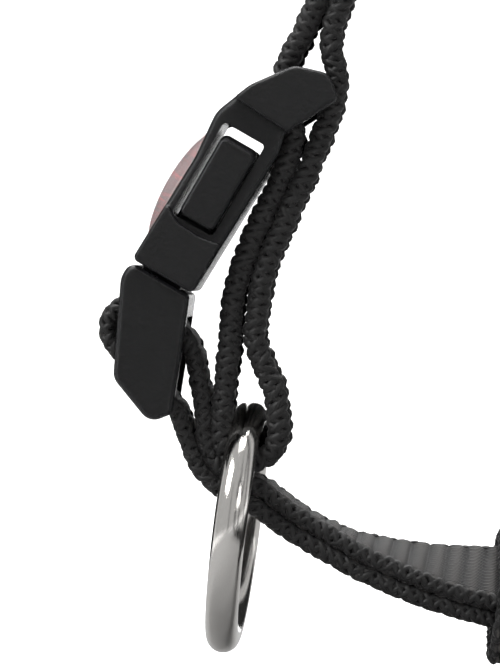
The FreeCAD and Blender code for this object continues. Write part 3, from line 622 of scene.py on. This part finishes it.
def band_points(route, width, thickness, rib=0.34):
    """The ribbed band: rows of points round its section, with their strap coordinates."""
    reach = route.reach[:, None]
    half = width / 2 - 0.32
    top = np.linspace(-half, half, 11)
    turn = np.linspace(-math.pi / 2, math.pi / 2, 5)[1:-1]
    across = np.concatenate([
        top, half + 0.25 * np.cos(turn), top[::-1], -half - 0.25 * np.cos(turn),
    ])
    level = np.concatenate([np.ones(11), -np.sin(turn), -np.ones(11), np.sin(turn)])
    core = thickness / 2 - 0.18
    ribs_up = np.abs(np.sin(math.pi * reach / RIB_PITCH)) ** 0.6
    ribs_down = np.abs(np.cos(math.pi * reach / RIB_PITCH)) ** 0.6
    lift = np.where(level[None, :] > 0, ribs_up, ribs_down) * rib
    height = level[None, :] * (core + lift)
    side = across[None, :] + wobble(route.reach, 7, 3.0)[:, None] * 0.06
    points = (
        route.middle[:, None, :] + route.across[:, None, :] * side[..., None]
        + route.face[:, None, :] * height[..., None]
    )
    marks = np.stack([reach + 0 * side, across[None, :] + 0 * reach + 20, 0 * side], axis=-1)
    marks[..., 0] += np.where(level[None, :] > 0, 0, RIB_PITCH / 2)
    return points, marks


def strand_points(route, side, phase, seed, width, bulk):
    """One yarn of a strap's plaited edge."""
    reach = route.reach
    yarn = bulk * 0.185
    angle = 2 * math.pi * (reach / PLAIT_PITCH + phase) + wobble(reach, seed, 2.3) * 0.35
    sway = np.sin(angle) * (bulk / 2 - yarn) * (1 + 0.1 * wobble(reach, seed + 1, 1.7))
    rise = np.cos(2 * angle) * 0.26 + wobble(reach, seed + 2, 1.1) * 0.08
    radius = yarn * (1 + 0.14 * wobble(reach, seed + 3, 0.9))
    out = side * (width / 2 - 0.3 + rise)
    centre = route.middle + route.across * out[:, None] + route.face * sway[:, None]
    along = np.gradient(centre, axis=0)
    along /= np.linalg.norm(along, axis=1)[:, None]
    first = np.cross(along, route.face)
    first /= np.linalg.norm(first, axis=1)[:, None]
    second = np.cross(along, first)
    turn = np.arange(7) * 2 * math.pi / 7
    ring = (
        first[:, None, :] * np.cos(turn)[None, :, None]
        + second[:, None, :] * np.sin(turn)[None, :, None]
    )
    points = centre[:, None, :] + ring * radius[:, None, None]
    marks = np.stack([
        reach[:, None] + 0 * turn, 0.4 * np.cos(turn)[None, :] + 0 * reach[:, None],
        0 * turn + 0 * reach[:, None],
    ], axis=-1)
    return points, marks


def build_mesh(name, parts, body, nodes=()):
    """One object from (points, marks, material) grids of closed rows, capped at both ends."""
    vertices, marks, faces, which, materials = [], [], [], [], []
    total = 0
    for points, mark, material in parts:
        rows, columns = points.shape[:2]
        if material not in materials:
            materials.append(material)
        index = materials.index(material)
        vertices.append(points.reshape(-1, 3))
        marks.append(mark.reshape(-1, 3))
        quads = grid_faces(rows, columns, total)
        faces += quads.tolist()
        which += [index] * len(quads)
        for row in (0, rows - 1):
            edge = list(range(total + row * columns, total + (row + 1) * columns))
            faces.append(edge if row else edge[::-1])
            which.append(index)
        total += rows * columns
    vertices = np.vstack(vertices) * MM + np.array(DATUM)
    mesh = bpy.data.meshes.new(name)
    mesh.from_pydata(vertices.tolist(), [], faces)
    layer = mesh.attributes.new("strap", "FLOAT_VECTOR", "POINT")
    layer.data.foreach_set("vector", np.vstack(marks).ravel())
    for material in materials:
        mesh.materials.append(material)
    mesh.polygons.foreach_set("material_index", which)
    mesh.polygons.foreach_set("use_smooth", [len(face) == 4 for face in faces])
    mesh.update()
    item = bpy.data.objects.new(name, mesh)
    bpy.context.scene.collection.objects.link(item)
    if body:
        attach(item, body)
    if nodes:
        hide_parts(*nodes)
    return item


def webbing(
    name, route, width=STRAP_WIDTH, thickness=THICKNESS, bulk=2.15, body="halter",
    nodes=(), seed=1,
):
    """A strap of webbing: its ribbed band and a plait of three yarns along each edge."""
    parts = [(*band_points(route, width, thickness), FACE)]
    for side in (-1, 1):
        for k in range(3):
            yarn_seed = seed * 97 + side * 13 + k * 5 + 40
            grid = strand_points(route, side, k / 3, yarn_seed, width, bulk)
            parts.append((*grid, EDGE))
    return build_mesh(name, parts, body, nodes)


# ---------------------------------------------------------------- pieces

def neck_straps():
    """The neck loop. Its pieces are cut from one route, so the weave runs on between them."""
    points = NECK_RIGHT[::-1][:-1] + NECK_TOP[::-1][:-1]
    points += NECK_INNER[::-1][:-1] + RING_LOOP[::-1][:-1] + NECK_OUTER
    route = Route(points)
    shoulder = route.nearest((24.0, 0, 62.5))
    crown = route.nearest((120.0, 0, 62.5))
    last = len(route.reach) - 1
    webbing("neck_band_right", route.cut(0, crown), nodes=["neck_strap_right"], seed=1)
    webbing("neck_band_top", route.cut(crown, shoulder), nodes=["neck_strap_top"], seed=1)
    ring_turn = route.nearest((0.5, 0, -0.4))
    webbing(
        "neck_band_inner", route.cut(shoulder, ring_turn), bulk=NECK_BULK,
        nodes=["neck_strap_inner"], seed=1,
    )
    webbing(
        "neck_band_outer", route.cut(ring_turn, last), bulk=NECK_BULK,
        nodes=["neck_strap_ring_turn", "neck_strap_outer"], seed=1,
    )


def throat_straps():
    """The throat strap, its turn round the male half's bar, and the free tail."""
    tail = tail_points()
    points = THROAT + BAR_TURN + tail[::-1]
    widths = [twist_at(p[0]) for p in THROAT] + [(0, 1, 0)] * len(BAR_TURN)
    widths += [twist_at(p[0]) for p in THROAT if p[0] < TAIL_END][::-1]
    route = Route(points, widths)
    start, end = route.nearest((-4.3, 0, -13.9)), route.nearest((-6.2, 0, -14.0))
    last = len(route.reach) - 1
    webbing("throat_band", route.cut(0, start), nodes=["throat_strap"], seed=2)
    webbing("tail_band", route.cut(end, last), nodes=["adjuster_tail"], seed=2)
    turn = webbing(
        "bar_turn_band", route.cut(start, end), body=None, nodes=["adjuster_turn"], seed=2,
    )
    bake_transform(turn)


def keeper():
    """A sleeve of webbing round the throat strap and its tail."""
    straight = Vector((10.0, 0, -1.65)).normalized()
    wide = Vector(twist_at(36.0))
    up = straight.cross(wide).normalized()
    middle = Vector((34.9, 0, -28.9)) - up * (LAYER_PITCH / 2)
    half_wide, half_high, corner = 8.45, 3.05, 1.1
    loop = [
        (-6.5, -half_high), (0, -half_high), (half_wide - corner, -half_high),
        (half_wide, -half_high + corner), (half_wide, half_high - corner),
        (half_wide - corner, half_high), (0, half_high),
        (-half_wide + corner, half_high), (-half_wide, half_high - corner),
        (-half_wide, -half_high), (-half_wide + corner, -half_high - 1.75), (0, -half_high - 1.8),
        (6.2, -half_high - 1.8),
    ]
    points = [tuple(middle + wide * a + up * b) for a, b in loop]
    route = Route(points, [tuple(straight)] * len(points))
    webbing("keeper_band", route, width=14.4, thickness=1.6, nodes=["tail_keeper"], seed=3)


def nose_and_jaw():
    """Noseband, chin strap, jaw strap and cheek straps."""
    noseband, chin = nose_routes()
    webbing("noseband_band", Route(noseband), nodes=["noseband"], seed=4)
    webbing("chin_band", Route(chin), nodes=["chin_strap"], seed=5)
    jaw = jaw_route()
    webbing(
        "jaw_band", Route(jaw, [(1.0, 0, 0)] * len(jaw)), bulk=1.8, nodes=["jaw_strap"], seed=6,
    )
    points, directions = cheek_route()
    webbing(
        "cheek_band_left", Route(points, directions), width=CHEEK_WIDTH, nodes=["cheek_strap_left"],
        seed=8,
    )
    other = [(-x, y, z) for x, y, z in directions]
    webbing(
        "cheek_band_right", Route(mirrored(points), other), width=CHEEK_WIDTH,
        nodes=["cheek_strap_right"], seed=9,
    )


def nose_padding():
    """The crowned pad under the noseband, with rounded ends."""
    left, inset = HEAD_MIDDLE - CHEEK_SIDE, 3.3
    half = flat([
        (left + 6.6, 43.2), (left + 16.6, 52.0 - inset * 0.97), (72.0, 54.4 - inset),
    ], -NOSE_FORWARD)
    route = Route(half + mirrored(half)[::-1][1:], step=0.5)
    length = route.reach[-1]
    inward = np.minimum(route.reach, length - route.reach)
    full = np.sqrt(np.clip(1 - (1 - np.clip(inward / 3.5, 0.02, 1)) ** 2, 0, 1))
    turn = np.linspace(0, 2 * math.pi, 40, endpoint=False)
    wide = np.sign(np.cos(turn)) * np.abs(np.cos(turn)) ** 0.55 * 9.6
    tall = np.sign(np.sin(turn)) * np.abs(np.sin(turn)) ** 0.75 * 2.3
    seam = 1 - 0.12 * np.exp(-((np.abs(wide) - 7.6) / 0.5) ** 2)
    puckers = 1 + 0.03 * np.sin(route.reach / 5.2 * 2 * math.pi)
    across = wide[None, :] * (0.6 + 0.4 * full)[:, None]
    height = tall[None, :] * seam[None, :] * (full * puckers)[:, None]
    points = (
        route.middle[:, None, :] + route.across[:, None, :] * across[..., None]
        + route.face[:, None, :] * height[..., None]
    )
    marks = np.stack([
        route.reach[:, None] + 0 * across, across, 0 * across,
    ], axis=-1)
    item = build_mesh(
        "nose_padding", [(points, marks, KNIT)], "halter", ["noseband_pad"],
    )


def thread_grid(line, radius):
    """A thin round thread along a line of points."""
    line = np.array(line, float)
    along = np.gradient(line, axis=0)
    along /= np.linalg.norm(along, axis=1)[:, None]
    helper = np.tile(np.array([[0.31, 0.87, 0.38]]), (len(line), 1))
    first = np.cross(along, helper)
    first /= np.linalg.norm(first, axis=1)[:, None]
    second = np.cross(along, first)
    turn = np.arange(6) * math.pi / 3
    points = line[:, None, :] + radius * (
        first[:, None, :] * np.cos(turn)[None, :, None]
        + second[:, None, :] * np.sin(turn)[None, :, None]
    )
    reach = np.arange(len(line))[:, None] * 0.2 + 0 * turn
    return points, np.stack([reach, 0 * reach, 0 * reach], axis=-1)


def tack_line(points, index, across, width=8.0):
    """A zigzag of thread on a strap's face, at one of its route's points."""
    along = (Vector(points[index + 1]) - Vector(points[index - 1])).normalized()
    across = Vector(across).normalized()
    face = along.cross(across).normalized()
    middle = Vector(points[index]) + face * (THICKNESS / 2 + 0.12)
    line = []
    passes = 15
    for k in range(passes * 6 + 1):
        u = k / (passes * 6)
        swing = math.asin(math.sin(u * passes * math.pi)) * 2 / math.pi
        line.append(tuple(
            middle + across * ((u - 0.5) * width) + along * (swing * 0.62)
            + face * (0.1 * abs(math.cos(u * passes * math.pi)))
        ))
    return line


def stitches():
    """Bar tacks, in place of the plain blocks of the CAD model."""
    noseband, chin = nose_routes()
    jaw = jaw_route()
    groups = {
        "neck_stitching": [(NECK_OUTER, 15, (0, 1, 0)), (NECK_OUTER, 16, (0, 1, 0))],
        "nose_stitching": [
            (route, index, (0, 1, 0))
            for route in (noseband, chin) for index in (11, len(noseband) - 12)
        ],
        "jaw_stitching": [(jaw, 12, (1, 0, 0)), (jaw, 14, (1, 0, 0))],
    }
    for node, places in groups.items():
        parts = []
        for points, index, across in places:
            parts.append((*thread_grid(tack_line(points, index, across), 0.14), THREAD))
        build_mesh(node.replace("stitching", "thread"), parts, "halter", [node])


def repaint(name, material):
    """Give a CAD node its finished material."""
    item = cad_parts[name]
    item.data.materials.clear()
    item.data.materials.append(material)


camera()
studio()
FACE = ribbed_nylon("ribbed_nylon")
EDGE = plaited_yarn("plaited_yarn")
KNIT = soft_knit("soft_knit")
THREAD = sewing_thread("sewing_thread")
neck_straps()
throat_straps()
keeper()
nose_and_jaw()
nose_padding()
stitches()
PLASTIC, METAL = moulded_plastic("buckle_plastic"), polished_metal("polished_metal")
for node in ("buckle_female", "buckle_male", "release_arm_front", "release_arm_rear", "jaw_slider"):
    repaint(node, PLASTIC)
for node in ("lead_ring", "cheek_ring_left", "cheek_ring_right"):
    repaint(node, METAL)
repaint("badge_dome", badge_clear("badge_clear"))
repaint("badge_inlay", badge_colour("badge_colour"))
